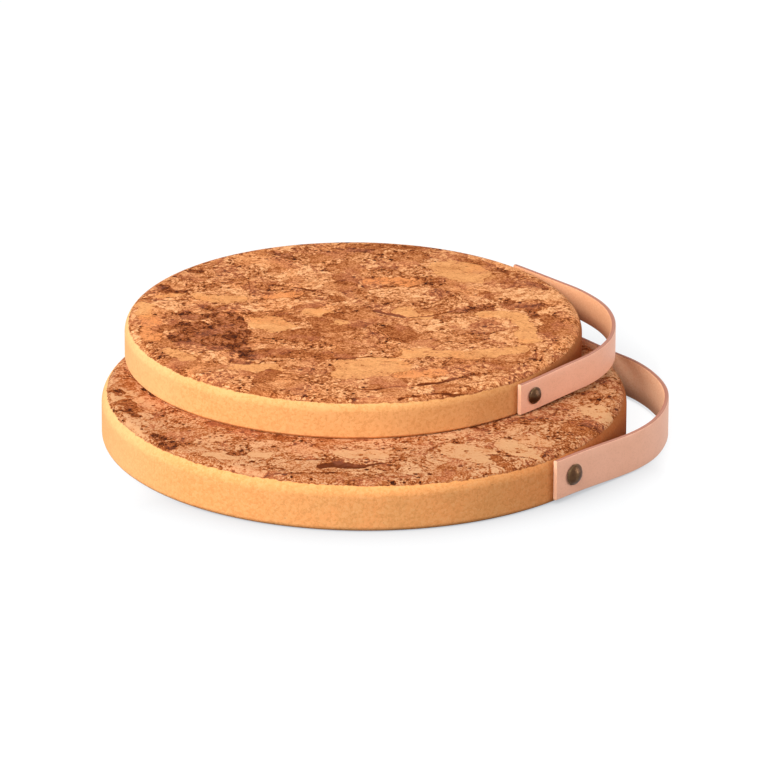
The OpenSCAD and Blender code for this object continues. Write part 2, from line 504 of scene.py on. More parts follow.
def cork_material(trivet):
    name = f"{trivet.name}_pressed_cork"
    material, graph, shader, place = open_material(name, 0.85, specular_ior_level=0.08)
    # The side share places the cork's painted shade and painted highlight.
    side = side_share(graph, place, trivet)
    cork = graph.group(cork_group(), {"Vector": place, "Ground": trivet.cork, "Side": side})
    graph.feed(shader.inputs["Base Color"], cork["Color"])
    bump(graph, shader, cork["Height"], 0.12 * MM, 0.5)
    return material


def bark_material(name, seed, trivet):
    """Bark that is sanded through to the cork, in a ragged line, where its edge runs down the rim."""
    material, graph, shader, place = open_material(name, 0.88, specular_ior_level=0.06)
    patches = {kind.title(): graph.attribute(f"bark_{kind}") for kind in PATCH_BORDERS}
    bark = graph.group(bark_group(), {"Vector": place, "Seed": seed, "Age": AGE[trivet.name], **patches})
    # The sanded cork takes the same painted shade and painted highlight by side.
    side = side_share(graph, place, trivet)
    cork = graph.group(cork_group(), {"Vector": place, "Ground": trivet.cork, "Side": side})
    left = graph.attribute("bark_left") + (graph.noise(place, 2.6, 4.0, 0.65) - 0.5) * 2.6
    sanded = graph.step(left, 0.35, -0.1)
    thin_edge = graph.step(left, 1.3, 0.3) * 0.4
    color = graph.blend(thin_edge, bark["Color"], tint(132, 74, 40))
    graph.feed(shader.inputs["Base Color"], graph.blend(sanded, color, cork["Color"]))
    bump(graph, shader, bark["Height"] * (1.0 - sanded), 0.3 * MM, 0.7)
    return material


# Painted light and painted shade on each strap's inner face, against the flesh side's colour: the large
# loop's face is made paler, the small loop's darker
FLESH_PAINTED_LIGHT = {"large": (1.0, 1.05, 1.05), "small": (0.84, 0.75, 0.64)}


def leather_material(trivet):
    """Vegetable-tanned leather: smooth grain side, napped flesh side, burnished edges and raw cut ends, with
    painted shade on the flesh side towards its lower edge.
    """
    settings = bpy.context.scene.trivet_finish
    name = f"{trivet.name}_strap_leather"
    material, graph, shader, _ = open_material(name, 0.5, specular_ior_level=0.5)
    skin = graph.vector("MULTIPLY", graph.attribute("strip", "Vector"), (1 / MM, 1 / MM, 1 / MM))
    clouds = graph.group(mottle_group(), {"Vector": skin, "Size": 13.0, "Low": 0.0, "High": 1.0})
    pebbles = graph.group(granule_group(), {"Vector": skin, "Size": 0.75})
    nap = graph.noise(skin, 0.7, 4.0, 0.7)
    grain_side = graph.blend(clouds["Value"], tuple(settings.grain_side), tint(242, 178, 146))
    grain_side = graph.blend(graph.step(pebbles["Tone"], 0.5, 0.2) * 0.16, grain_side, tint(200, 136, 110))

    flesh_side = graph.blend(graph.step(nap, 0.35, 0.65), tuple(settings.flesh_side), tint(246, 182, 140))
    # Painted shade: the flesh side darkens towards the strap's lower edge, where the disc shades it.
    lower_edge = trivet.strap_width / MM / 2
    lower = graph.step(graph.axes(skin)[1], 0.0, 0.95 * lower_edge, 0.0, 0.75)
    shaded = graph.blend(1.0, flesh_side, (0.5, 0.36, 0.32), "MULTIPLY")
    flesh_side = graph.blend(lower, flesh_side, shaded)
    # Painted light on the large strap's inner face, painted shade on the small one's.
    flesh_side = graph.blend(1.0, flesh_side, FLESH_PAINTED_LIGHT[trivet.name], "MULTIPLY")

    on_grain = graph.attribute("outward") > 0.0
    color = graph.blend(on_grain, flesh_side, grain_side)
    ragged = graph.attribute("burnish") + (nap - 0.5) * 0.3
    color = graph.blend(graph.step(ragged, 0.45, 0.95), color, tint(172, 112, 90))
    raw = graph.blend(nap, tint(255, 208, 172), tint(244, 180, 142))
    graph.feed(shader.inputs["Base Color"], graph.blend(graph.attribute("cut_end"), color, raw))
    graph.feed(shader.inputs["Roughness"], graph.step(on_grain, 0.0, 1.0, 0.75, 0.48))
    bump(graph, shader, pebbles["Height"] * 0.5 + nap * 0.6, 0.06 * MM, 0.6)
    return material


def brass_material():
    """Dark antique brass, lighter round the crown and the lip of each head: partly wear, partly a painted
    highlight.
    """
    settings = bpy.context.scene.trivet_finish
    material, graph, shader, place = open_material("antique_brass", 0.36, metallic=0.85)
    clouds = graph.group(mottle_group(), {"Vector": place, "Size": 2.2, "Low": 0.0, "High": 1.0})
    fine = graph.group(granule_group(), {"Vector": place, "Size": 0.5})
    # Partly wear and partly a painted highlight: the lip and crown of each head are made lighter.
    worn = graph.step(graph.attribute("worn") + clouds["Value"] * 0.4, 0.55, 1.1)
    color = graph.blend(clouds["Value"], tuple(settings.brass), tint(92, 64, 40))
    graph.feed(shader.inputs["Base Color"], graph.blend(worn * 0.5, color, tint(116, 92, 64)))
    graph.feed(shader.inputs["Roughness"], graph.step(clouds["Value"], 0.0, 1.0, 0.42, 0.28))
    bump(graph, shader, fine["Height"], 0.03 * MM, 0.4)
    return material


def plug_material():
    """Turned beech: fine rings and short pores along the grain."""
    material, graph, shader, place = open_material("plug_beech", 0.6)
    stretched = graph.vector("MULTIPLY", place, (0.2, 0.2, 1.0))
    rings = graph.noise(stretched, 1.6, 3.0, 0.5, 1.0)
    dashes = graph.specks(stretched, 1.2, 0.3, 0.5)
    color = graph.blend(graph.step(rings, 0.4, 0.62), tint(226, 192, 148), tint(196, 152, 106))
    graph.feed(shader.inputs["Base Color"], graph.blend(dashes * 0.5, color, tint(150, 104, 68)))
    bump(graph, shader, rings, 0.08 * MM, 0.5)
    return material


def open_geometry(name, sizes, *others):
    """A geometry tree for a piece, with these sizes and other inputs, and the material to end with."""
    inputs = {"Geometry": "Geometry", **{size: "Float" for size in sizes}, **dict(others)}
    inputs["Material"] = "Material"
    return open_tree(name, "GeometryNodeTree", inputs, {"Geometry": "Geometry"})


# Edges that bend by more than this stay sharp, and points closer than this are one
CREASE_ANGLE = math.radians(32)
MERGE_DISTANCE = 0.001 * MM


def close_geometry(graph, geometry, material, out):
    """Ends a geometry tree: smooth shading, real geometry and its material."""
    smooth = graph.get("GeometryNodeSetShadeSmooth", {"Geometry": geometry})
    bend = graph.get("GeometryNodeInputMeshEdgeAngle", output="Unsigned Angle")
    corners = {"Geometry": smooth, "Selection": bend > CREASE_ANGLE, "Shade Smooth": False}
    creased = graph.get("GeometryNodeSetShadeSmooth", corners, domain="EDGE")
    real = graph.get("GeometryNodeRealizeInstances", {"Geometry": creased})
    dressed = graph.get("GeometryNodeSetMaterial", {"Geometry": real, "Material": material})
    graph.feed(out["Geometry"], dressed)


def kept_value(graph, label, kind="FLOAT"):
    """What a geometry tree's mesh keeps under a name."""
    return graph.get("GeometryNodeInputNamedAttribute", {"Name": label}, "Attribute", data_type=kind)


@kept_tree("Turned piece")
def turning_tree(name):
    """Turns a profile, drawn as radius along X and height along Z, round the Z axis."""
    tree, graph, given, out = open_geometry(name, ("Spoke",), ("Segments", "Int"))
    spoke = given["Spoke"]
    profile = graph.get("GeometryNodeMeshToCurve", {"Mesh": given["Geometry"]})
    place = graph.axes(graph.get("GeometryNodeInputPosition"))
    flat = graph.combine(place[0] - spoke, place[2] * -1.0, 0.0)
    profile = graph.get("GeometryNodeSetPosition", {"Geometry": profile, "Position": flat})
    path = graph.get("GeometryNodeCurvePrimitiveCircle", {"Resolution": given["Segments"], "Radius": spoke})
    turned = graph.get("GeometryNodeCurveToMesh", {"Curve": path, "Profile Curve": profile})
    closed = graph.get("GeometryNodeMergeByDistance", {"Geometry": turned, "Distance": MERGE_DISTANCE})
    close_geometry(graph, graph.get("GeometryNodeFlipFaces", {"Mesh": closed}), given["Material"], out)
    return tree


@kept_tree("Plug bores")
def boring_tree(name):
    """Bores a turned disc for the plug of each stud."""
    sizes = ("Bore Radius", "Bore Depth", "Rim Radius", "Stud Step", "Leave Angle", "Height")
    tree, graph, given, out = open_geometry(name, sizes)
    bored = given["Geometry"]
    for side in SIDES.values():
        bar = {"Vertices": 48, "Radius": given["Bore Radius"], "Depth": given["Bore Depth"] * 2.0}
        laid = {"Geometry": graph.get("GeometryNodeMeshCylinder", bar), "Rotation": (0.0, math.pi / 2, 0.0)}
        step = given["Stud Step"] * -float(side)
        laid["Translation"] = graph.combine(given["Rim Radius"], step, given["Height"])
        turned = {"Geometry": graph.get("GeometryNodeTransform", laid)}
        turned["Rotation"] = graph.combine(0.0, 0.0, given["Leave Angle"] * float(side))
        cut = {"Mesh 1": bored, "Mesh 2": graph.get("GeometryNodeTransform", turned)}
        bored = graph.get("GeometryNodeMeshBoolean", cut, operation="DIFFERENCE", solver="EXACT")
    close_geometry(graph, bored, given["Material"], out)
    return tree


@kept_tree("Bark relief")
def relief_tree(name):
    """Sinks pores, growth veins and flaking crust into a bark face, along its normals."""
    depths = ("Pore Depth", "Vein Depth", "Crust Depth", "Grain Depth", "Seed")
    tree, graph, given, out = open_geometry(name, depths)
    place = graph.scaled(graph.get("GeometryNodeInputPosition"), 1 / MM)
    seeded = graph.vector("ADD", place, graph.combine(given["Seed"], given["Seed"], 0.0))
    pores = graph.specks(graph.warp(seeded, 3.0, 1.0), 6.0, 1.3, 0.4)
    lumps = graph.noise(seeded, 2.4, 3.0, 0.6)
    vein = graph.step(kept_value(graph, "bark_vein"), -0.4, 0.3)
    crust = graph.step(kept_value(graph, "bark_dark"), -0.8, 0.8) * graph.step(lumps, 0.35, 0.65)
    depth = pores * given["Pore Depth"] + vein * given["Vein Depth"]
    depth = depth + crust * given["Crust Depth"] + lumps * given["Grain Depth"]
    depth = depth * kept_value(graph, "bark_face") * -1.0
    inward = graph.scaled(graph.get("GeometryNodeInputNormal"), depth)
    sunk = graph.get("GeometryNodeSetPosition", {"Geometry": given["Geometry"], "Offset": inward})
    close_geometry(graph, sunk, given["Material"], out)
    return tree


# The length of the leather's waves along a strap
SWAY_LENGTH = 38 * MM


@kept_tree("Leather strip")
def strap_tree(name):
    """Runs a strip of leather on edge along a path, and keeps the strip's own coordinates on it."""
    sizes = ("Width", "Thickness", "Edge Rounding", "Burnish Width", "Cut Depth", "Waviness", "Calm Length")
    tree, graph, given, out = open_geometry(name, sizes)

    def keep(geometry, label, value, kind="FLOAT"):
        inputs = {"Geometry": geometry, "Name": label, "Value": value}
        return graph.get("GeometryNodeStoreNamedAttribute", inputs, data_type=kind, domain="POINT")

    path = graph.get("GeometryNodeMeshToCurve", {"Mesh": given["Geometry"]})
    along = graph.get("GeometryNodeSplineParameter", output="Length")
    whole = graph.get("GeometryNodeSplineLength", output="Length")
    path = keep(path, "along", along)
    path = keep(path, "from_end", graph.math("MINIMUM", along, whole - along))
    path = graph.get("GeometryNodeSetCurveNormal", {"Curve": path}, mode="Z_UP")

    sides = {"Width": given["Thickness"], "Height": given["Width"]}
    profile = graph.get("GeometryNodeCurvePrimitiveQuadrilateral", sides)
    rounding = {"Curve": profile, "Radius": given["Edge Rounding"], "Count": 4}
    profile = graph.get("GeometryNodeFilletCurve", rounding, mode="POLY")
    profile = graph.get("GeometryNodeSubdivideCurve", {"Curve": profile, "Cuts": 3})
    profile = keep(profile, "section", graph.get("GeometryNodeInputPosition"), "FLOAT_VECTOR")

    strip = graph.get("GeometryNodeCurveToMesh", {"Curve": path, "Profile Curve": profile, "Fill Caps": True})
    across = graph.axes(kept_value(graph, "section", "FLOAT_VECTOR"))
    along, from_end = kept_value(graph, "along"), kept_value(graph, "from_end")
    strip = keep(strip, "strip", graph.combine(along, across[1], across[0]), "FLOAT_VECTOR")
    strip = keep(strip, "outward", across[0] * (1 / MM))
    edge = given["Width"] * 0.5 - abs(across[1])
    strip = keep(strip, "burnish", graph.step(edge, given["Burnish Width"], 0.0))
    strip = keep(strip, "cut_end", graph.step(from_end, given["Cut Depth"], 0.0))

    calm = graph.step(from_end, given["Calm Length"], given["Calm Length"] * 2.0)
    sway = graph.noise_push(graph.combine(along, 0.0, 0.0), SWAY_LENGTH, 1.0)
    offset = graph.scaled(sway, calm * given["Waviness"])
    strip = graph.get("GeometryNodeSetPosition", {"Geometry": strip, "Offset": offset})
    close_geometry(graph, strip, given["Material"], out)
    return tree


def apply_tree(piece, tree, values):
    """Runs a geometry tree on a piece with these named inputs, and keeps the result as its plain mesh."""
    modifier = piece.modifiers.new(tree.name, "NODES")
    modifier.node_group = tree
    sockets = (item for item in tree.interface.items_tree if item.item_type == "SOCKET")
    identifiers = {item.name: item.identifier for item in sockets if item.in_out == "INPUT"}
    for name, value in values.items():
        modifier[identifiers[name]] = value
    seen = piece.evaluated_get(bpy.context.evaluated_depsgraph_get())
    made = bpy.data.meshes.new_from_object(seen)
    piece.modifiers.remove(modifier)
    piece.data = made
    return piece


def new_piece(name, points, edges=(), faces=()):
    mesh = bpy.data.meshes.new(name)
    mesh.from_pydata(points, edges, faces)
    piece = bpy.data.objects.new(name, mesh)
    bpy.context.scene.collection.objects.link(piece)
    return piece


def new_line(name, points):
    """A piece that is only a line through these points, for a geometry tree to work on."""
    return new_piece(name, points, [(i, i + 1) for i in range(len(points) - 1)])


def store(piece, label, values):
    """Keeps one number for each point of a piece under a name."""
    attribute = piece.data.attributes.new(label, "FLOAT", "POINT")
    attribute.data.foreach_set("value", np.asarray(values, np.float32))


def turn_about_z(name, profile, material, segments, marks=None):
    """A piece turned from a profile of (radius, height) points, with marks kept for each point."""
    piece = new_line(name, [(radius, 0, height) for radius, height in profile])
    for label, values in (marks or {}).items():
        store(piece, label, values)
    return apply_tree(piece, turning_tree(), {"Segments": segments, "Spoke": 1 * MM, "Material": material})


def arc(centre, radius, start, end, count):
    """Points on an arc from one angle to another, in radians."""
    steps = (start + (end - start) * i / count for i in range(count + 1))
    return [(centre[0] + radius * math.cos(a), centre[1] + radius * math.sin(a)) for a in steps]


def core_profile(trivet):
    """The cork core: flat where the bark is glued on, and rounded at the rim."""
    foot, top = trivet.foot_edge, trivet.top_edge
    foot_start = math.asin((foot - trivet.base_bark) / foot)
    top_start = math.asin((top - trivet.top_bark) / top)
    lower = arc((trivet.radius - foot, foot), foot, -foot_start, 0, 12)
    upper = arc((trivet.radius - top, trivet.thickness - top), top, 0, top_start, 16)
    wall_height = upper[0][1] - lower[-1][1]
    wall = [(trivet.radius, lower[-1][1] + wall_height * i / 8) for i in range(1, 8)]
    return [(0, trivet.base_bark), *lower, *wall, *upper, (0, trivet.thickness - trivet.top_bark)]


def square_grid(rings):
    """An even grid bent round: each point's angle, its share of the way to the border, and the faces."""
    steps = np.arange(-rings, rings + 1)
    across, along = (part.ravel().astype(float) for part in np.meshgrid(steps, steps))
    share = np.maximum(abs(across), abs(along)) / rings
    wide = abs(across) >= abs(along)
    long_side = np.where(wide, across, along)
    short_side = np.where(wide, along, across)
    lean = np.divide(short_side, long_side, out=np.zeros_like(share), where=long_side != 0) * math.pi / 4
    angle = np.where(wide, lean, math.pi / 2 - lean) + np.where(long_side < 0, math.pi, 0)

    size = 2 * rings + 1
    last = size - 1
    corner = (np.arange(last)[:, None] * size + np.arange(last)).ravel()
    faces = np.stack([corner, corner + 1, corner + size + 1, corner + size], 1)
    border = [i for i in range(last)] + [last + size * i for i in range(last)]
    border += [size * size - 1 - i for i in range(last)] + [size * last - size * i for i in range(last)]
    return angle, share, [tuple(face) for face in faces.tolist()], border


# The size and the push, in mm, of the waves in a patch's border, and how much of the push a narrow vein takes
STRAY_WAVES = ((13.0, 3.2), (4.5, 1.6))
VEIN_STRAY = 0.3


def bark_sheet(name, trivet, face_up, rings, patches):
    """One bark layer: an even grid laid over the face and round its edge, and a flat glued side."""
    angle, share, faces, border = square_grid(rings)
    edge, bark = (trivet.top_edge, trivet.top_bark) if face_up else (trivet.foot_edge, trivet.base_bark)
    flat = trivet.radius - edge
    reach = flat + edge * math.acos(1 - bark / edge)
    path = share * reach
    bend = np.maximum(path - flat, 0) / edge
    radius = np.minimum(path, flat) + edge * np.sin(bend)
    drop = edge * (1 - np.cos(bend))
    height = trivet.thickness - drop if face_up else drop
    points = np.stack([radius * np.cos(angle), radius * np.sin(angle), height], 1)

    glued = trivet.thickness - bark if face_up else bark
    centre = len(points)
    points = np.vstack([points, [0, 0, glued]])
    faces += [(centre, b, a) for a, b in zip(border, border[1:] + border[:1])]
    if not face_up:
        faces = [face[::-1] for face in faces]
    piece = new_piece(name, points.tolist(), faces=faces)

    steady = strayed(points / MM, VEIN_STRAY) if patches else points
    wandering = strayed(points / MM, 1.0) if patches else points
    for kind in PATCH_BORDERS:
        places = steady if kind == "vein" else wandering
        store(piece, f"bark_{kind}", patch_field(places, patches.get(kind, ())))
    turn = (np.degrees(angle) - THICK_BARK_AZIMUTH + 180) % 360 - 180
    sanded = SANDED_DEPTH * (1 - np.exp(-((turn / THICK_BARK_SPREAD) ** 4)))
    store(piece, "bark_left", np.append((reach - path) / MM - sanded, 0.0))
    store(piece, "bark_face", np.append(share < 1 - 1.5 / rings, False))
    return piece


def patch_field(places, patches):
    """How deep inside its nearest patch each place lies, in millimetres, and less than zero outside."""
    field = np.full(len(places), -PATCH_REACH)
    for half_width, *route in patches:
        route = np.array(route, float)
        for start, end in zip(route, route[1:]):
            run = end - start
            share = ((places[:, :2] - start) @ run / (run @ run)).clip(0, 1)
            away = np.hypot(*(places[:, :2] - start - share[:, None] * run).T)
            field = np.maximum(field, half_width - away)
    return field


def strayed(places, share):
    """The places pushed about by a share of the waves, so that the border of a patch wanders."""
    moved = places.copy()
    for size, push in STRAY_WAVES:
        for i, place in enumerate(places):
            offset = noise.noise_vector(Vector(place) / size)
            moved[i, :2] += (offset.x * push * share, offset.y * push * share)
    return moved


# How fast the bow's rise sets in along a leg
RISE_SPEED = 1.6


def strap_path(trivet):
    """A strap's middle line: tail, straight leg, bow, leg, tail, with a close point at each cut end."""
    settings = bpy.context.scene.trivet_sizes
    middle = (trivet.strap_in + trivet.strap_out) / 2
    leave = trivet.leave_angle
    bow_radius = trivet.bow_tip - trivet.bow_x - settings.leather / 2
    close = settings.cut_ring / middle
    tail = arc((0, 0), middle, -trivet.end_angle, -leave, 4)
    tail.insert(1, arc((0, 0), middle, -trivet.end_angle + close, -leave, 1)[0])
    bow = arc((trivet.bow_x, 0), bow_radius, -leave, leave, 72)
    leg = [tuple(np.array(tail[-1]) + (np.array(bow[0]) - np.array(tail[-1])) * i / 20) for i in range(1, 20)]
    front = tail + leg
    back = [(x, -y) for x, y in reversed(front)]
    leg_start = tail[-1][0]
    points = []
    for x, y in front + bow + back:
        out_share = min(max((x - leg_start) / (trivet.bow_tip - leg_start) * RISE_SPEED, 0), 1)
        end_rise = trivet.back_rise if y > 0 else 0
        rise = end_rise + (trivet.bow_rise - end_rise) * out_share**2 * (3 - 2 * out_share)
        points.append((x, y, trivet.strap_middle + rise))
    return points


# The turns of a shank's thread, and the thread's root as a share of the shank
THREAD_TURNS = 7
THREAD_ROOT = 0.86


def stud_profile(trivet):
    """A stud as (radius, height over the rim) from its point to its dome, and how much wear and painted
    highlight each place takes.
    """
    settings = bpy.context.scene.trivet_sizes
    shank, lip, depth = settings.shank_radius, settings.lip, settings.shank_length
    seat = settings.strap_play * 2 + settings.leather
    rim = trivet.head_radius
    dome_height = trivet.head_height - 2 * lip
    ball = ((rim - lip) ** 2 + dome_height**2) / (2 * dome_height)
    base = seat + 2 * lip
    lean = math.asin((rim - lip) / ball)
    dome = arc((0, base + dome_height - ball), ball, math.pi / 2 - lean, math.pi / 2, 14)[1:-1]
    roll = arc((rim - lip, seat + lip), lip, -math.pi / 2, math.pi / 2, 8)
    point_end = 2 * shank - depth
    point = [(0, -depth), (shank / 5, -depth), (shank, point_end)]
    length = depth - 2 * shank - 2 * settings.leather
    thread = []
    for i in range(THREAD_TURNS):
        foot = point_end + length * i / THREAD_TURNS
        thread += [(shank, foot), (shank * THREAD_ROOT, foot + length / THREAD_TURNS * 0.5)]
    neck = [(shank, point_end + length), (shank, seat)]
    profile = [*point, *thread[1:], *neck, *roll, *dome, (0, base + dome_height)]
    # Wear and painted highlight on the lip and the crown.
    worn = []
    for radius, height in profile:
        on_lip = height > seat + lip and radius > rim - 2 * lip
        on_crown = height > base + dome_height * 0.8
        worn.append(0.7 if on_lip else 0.45 if on_crown else 0.0)
    return profile, worn


def place_piece(piece, matrix):
    """Moves the piece's mesh, and leaves its object at the origin."""
    piece.data.transform(matrix)
    piece.data.update()
    return piece


def hand_over(node):
    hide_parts(node)


def length(name, description, default):
    """A length, with its default in millimetres."""
    return FloatProperty(name=name, description=description, default=default * MM, unit="LENGTH")


def angle(name, description, default):
    """An angle, with its default in degrees."""
    return FloatProperty(name=name, description=description, default=math.radians(default), unit="ROTATION")


def amount(name, description, default):
    return FloatProperty(name=name, description=description, default=default)


def colour(name, description, default):
    return FloatVectorProperty(name=name, description=description, default=default, subtype="COLOR")


class TrivetSizes(bpy.types.PropertyGroup):
    """Sizes that the solid parts' boxes don't give."""

    large_edge: length("Large rim rounding", "Radius of the large disc's upper rim edge", 6.5)
    small_edge: length("Small rim rounding", "Radius of the small disc's upper rim edge", 5.5)
    large_foot: length("Large foot rounding", "Radius of the large disc's lower rim edge", 2.5)
    small_foot: length("Small foot rounding", "Radius of the small disc's lower rim edge", 1.5)
    large_tail: length("Large tail", "Length of the large strap's tail along the rim", 6)
    small_tail: length("Small tail", "Length of the small strap's tail along the rim", 3.5)
    large_bow_rise: length("Large bow rise", "How far the large loop's bow rises above its ends", -1.4)
    small_bow_rise: length("Small bow rise", "How far the small loop's bow rises above its ends", 1.3)
    large_head: length("Large head height", "Height of the large stud heads", 2.8)
    small_head: length("Small head height", "Height of the small stud heads", 2.4)
    large_back_rise: length(
        "Large back rise", "How far the large strap's back end sits above its front end", 0.0
    )
    small_back_rise: length(
        "Small back rise", "How far the small strap's back end sits above its front end", 1.6
    )
    leather: length("Leather", "Thickness of the leather", 2)
    strap_play: length("Strap play", "Gap between rim and strap, and strap and stud head", 0.3)
    stud_step: length("Stud step", "Distance from the tail to the middle of the stud", 5)
    strap_edge: length("Leather edge rounding", "Radius of the strap's burnished edges", 0.55)
    cut_ring: length("Cut end", "Length over which a cut end's raw colour stops", 0.25)
    waviness: length("Waviness", "How far the leather strays from its ideal line", 1.0)
    shank_radius: length("Shank radius", "Radius of a stud's shank", 1.6)
    shank_length: length("Shank length", "Length of a stud's shank inside the disc", 17)
    lip: length("Head lip", "Radius of a stud head's rolled lip", 0.25)
    plug_radius: length("Plug bore radius", "Radius of the bores for the plugs", 4.05)
    plug_depth: length("Plug bore depth", "Depth of those bores from the rim", 24.5)
    rings: IntProperty(
        name="Bark rings", description="Rings of faces on a shown bark face", default=130, min=20, max=150
    )


class TrivetFinish(bpy.types.PropertyGroup):
    """Colours that a maker of such a set would choose."""

    large_cork: colour("Large cork", "Colour of the large disc's pressed cork", tint(249, 167, 100))
    small_cork: colour("Small cork", "Colour of the small disc's pressed cork", tint(241, 175, 111))
    grain_side: colour("Leather, outer", "Colour of the leather's grain side", tint(245, 182, 151))
    flesh_side: colour("Leather, inner", "Colour of the leather's flesh side", tint(255, 200, 160))
    brass: colour("Brass", "Dark ground of the antique brass", tint(74, 49, 32))


class TrivetStage(bpy.types.PropertyGroup):
    """Light and view."""

    key_energy: amount("Key light", "Strength of the large lamp on the left, in W", 50.0)
    front_energy: amount("Front light", "Strength of the high lamp at the front, in W", 28.0)
    loop_energy: amount("Loop light", "Strength of the lamp beside the loops, in W", 23.0)
    sky: amount("Sky", "Strength of the light from all round", 0.25)
    floor_shade: amount("Shadow depth", "How dark cast shadows look on the floor", 0.12)
    contact_shade: colour(
        "Contact shadow", "Shade of the floor where the trivets touch it", (0.42, 0.43, 0.45)
    )
    camera_tilt: angle("Camera tilt", "Angle at which the camera looks down", 21.35)
    camera_roll: angle("Camera roll", "Turn of the picture about its middle", 0.25)
    lens: amount("Lens", "Focal length in mm on a 36 mm sensor", 374.0)


# Patches of the bark that stand out, by kind: half width and middle line, in mm from the disc's centre
PATCHES = {
    "large": {
        "dark": (
            (2, (-58, -79), (-52, -79)), (2.5, (-103, -28), (-98, -36)), (2, (-88, -58), (-85, -63)),
            (2, (-86, -68), (-82, -74)), (1.6, (-94, -6), (-92, -12)), (2, (48, -50), (55, -52)),
            (1.6, (80, -25), (86, -26)), (1.5, (-110, -6), (-106, -10)), (2, (95, -44), (98, -48)),
        ),
        "brown": (
            (2.6, (57, -84), (60, -91), (66, -96), (75, -96)), (3, (-104, -20), (-99, -30)),
            (3, (-42, -62), (-30, -64)), (6, (93, -46), (99, -52)), (2.6, (-66, -46), (-50, -54)),
            (5, (102, -58), (106, -52)), (2.5, (86, -21), (90, -23)),
        ),
        "rust": (
            (9, (90, -46), (94, -60)), (5, (-36, -106), (-6, -107), (20, -110)),
            (6, (-88, -64), (-82, -58)), (5, (-60, -70), (-52, -72)), (4, (16, -64), (22, -62)),
        ),
        "orange": (
            (5, (-30, -76), (-22, -77)), (7, (-94, -18), (-92, -26)), (5, (-54, -100), (-44, -100)),
            (6, (70, -62), (76, -66)),
        ),
        "pale": (
            (5.5, (-106, -12), (-101, -18)), (8, (38, -74), (50, -82)), (6, (99, -26), (102, -34)),
            (4, (-66, -82), (-58, -84)), (3, (-46, -79), (-42, -80)), (5, (-8, -80), (8, -82)),
            (6, (62, -70), (70, -80)), (5, (-104, -50), (-98, -60)),
        ),
        "vein": (
            (2.4, (-18, -93.5), (-14, -92)), (3.2, (-11, -91), (-7, -93)), (2.2, (-4, -94), (0, -93)),
            (1.0, (0, -93), (8, -90)), (0.6, (52, -80), (60, -80), (74, -84)),
            (0.5, (-30, -86), (-18, -86), (-8, -84)), (0.5, (-40, -102), (-20, -101), (0, -102)),
        ),
    },
    "small": {
        "dark": (
            (9, (-70, -12), (-58, -18)), (7, (-56, 2), (-52, -10), (-54, -26)), (8, (-72, -24), (-58, -28)),
            (5, (-50, -32), (-44, -46)), (3, (-62, -36), (-56, -34)),
            (3.5, (-76, 6), (-72, 2), (-65, 2), (-61, 8)), (2.2, (-67, 16), (-62, 12), (-57, 14)),
            (3.2, (-86, 40), (-82, 34), (-76, 32)), (3, (-37, 82), (-30, 80)), (2.8, (0, 86), (5, 84)),
            (2.8, (67, 62), (69, 60)), (2.2, (80, 44), (86, 36)), (2.2, (77, 10), (79, 4)),
            (1.8, (67, 18), (71, 24)), (2.4, (74, 16), (86, 18)), (2.2, (-73, 58), (-69, 58)),
            (3.2, (47, 12), (61, 14)), (2.2, (-52, -52), (-46, -54)),
        ),
        "brown": (
            (4.5, (-84, -14), (-76, -8)), (8, (-24, -22), (-21, -22)), (3.6, (-23, 14), (-15, 16)),
            (4.5, (-17, -2), (-14, -12), (-5, -14), (2, -8)), (3, (-11, 4), (-6, 2)),
            (4.5, (-7, 54), (-2, 46)), (4, (-45, -42), (-30, -44), (-14, -46)), (4, (-11, -46), (-3, -46)),
            (2.6, (-9, 26), (-6, 24)), (5, (19, -12), (22, -22)), (5, (-39, -74), (-36, -68)),
            (3, (-30, 6), (-27, -2)), (2.5, (-2, 92), (30, 90)), (2.5, (45, 78), (58, 70)),
            (2.4, (-88, -50), (-70, -76)), (2.5, (60, 32), (62, 26)), (3, (84, -14), (86, -22)),
            (4, (86, 3), (88, -8)),
        ),
        "rust": (
            (5, (4, 10), (10, 16)), (5, (3, -10), (7, -24), (12, -36), (16, -42)), (8, (66, 48), (76, 46)),
            (10, (-18, 84), (-12, 68)), (9, (-62, 62), (-50, 52), (-44, 44)), (6, (-72, 44), (-68, 40)),
            (3, (-62, -54), (-62, -56)), (5, (54, -64), (70, -56)), (6, (-48, -82), (-40, -88)),
            (6, (32, 14), (40, 18)), (6, (-52, -20), (-46, -30)), (4, (10, 84), (30, 80)),
            (4, (10, 86), (-8, 84)),
        ),
        "orange": (
            (5, (9, 48), (27, 46)), (4.5, (-36, 26), (-28, 28)), (4.2, (21, -70), (39, -66)),
            (3.6, (-56, 8), (-53, 6)), (5, (-90, -2), (-88, -26)),
        ),
        "pale": (
            (8, (-38, -4), (-35, -10)), (12, (2, -62), (13, -58)), (5, (24, -42), (50, -44), (72, -38)),
            (4.5, (77, -28), (77, -14), (73, 2), (60, 8)), (10, (44, 64), (54, 54)),
            (3.6, (-9, -6), (-5, -6)), (4.5, (-68, 26), (-52, 22)), (2.6, (-86, 26), (-76, 28)),
            (4, (-92, 14), (-92, 4)), (5, (-48, -60), (-34, -62)), (4, (-18, 8), (-12, 6)),
            (6, (24, 8), (30, 6)), (4, (-80, -42), (-72, -50)),
        ),
        "vein": (
            (1.1, (28, -80), (36, -78), (45, -72)),
            (0.5, (1, -84), (5, -86), (11, -86), (19, -82), (28, -80)),
            (0.6, (45, -72), (52, -68), (61, -64)), (0.9, (39, -90), (50, -88)),
            (0.45, (20, -96), (30, -92), (39, -90)), (1.3, (10, 10), (15, 6), (22, 2)),
            (0.5, (-12, -50), (0, -48), (20, -46)), (0.6, (80, -40), (80, -50)),
            (0.7, (-37, 42), (-28, 40), (-18, 34)), (0.5, (-94, 24), (-84, 22), (-72, 22)),
            (0.5, (25, 2), (34, 4), (44, 10)),
        ),
    },
}

# Segments round a disc and round a stud
DISC_SEGMENTS = 720
STUD_SEGMENTS = 64


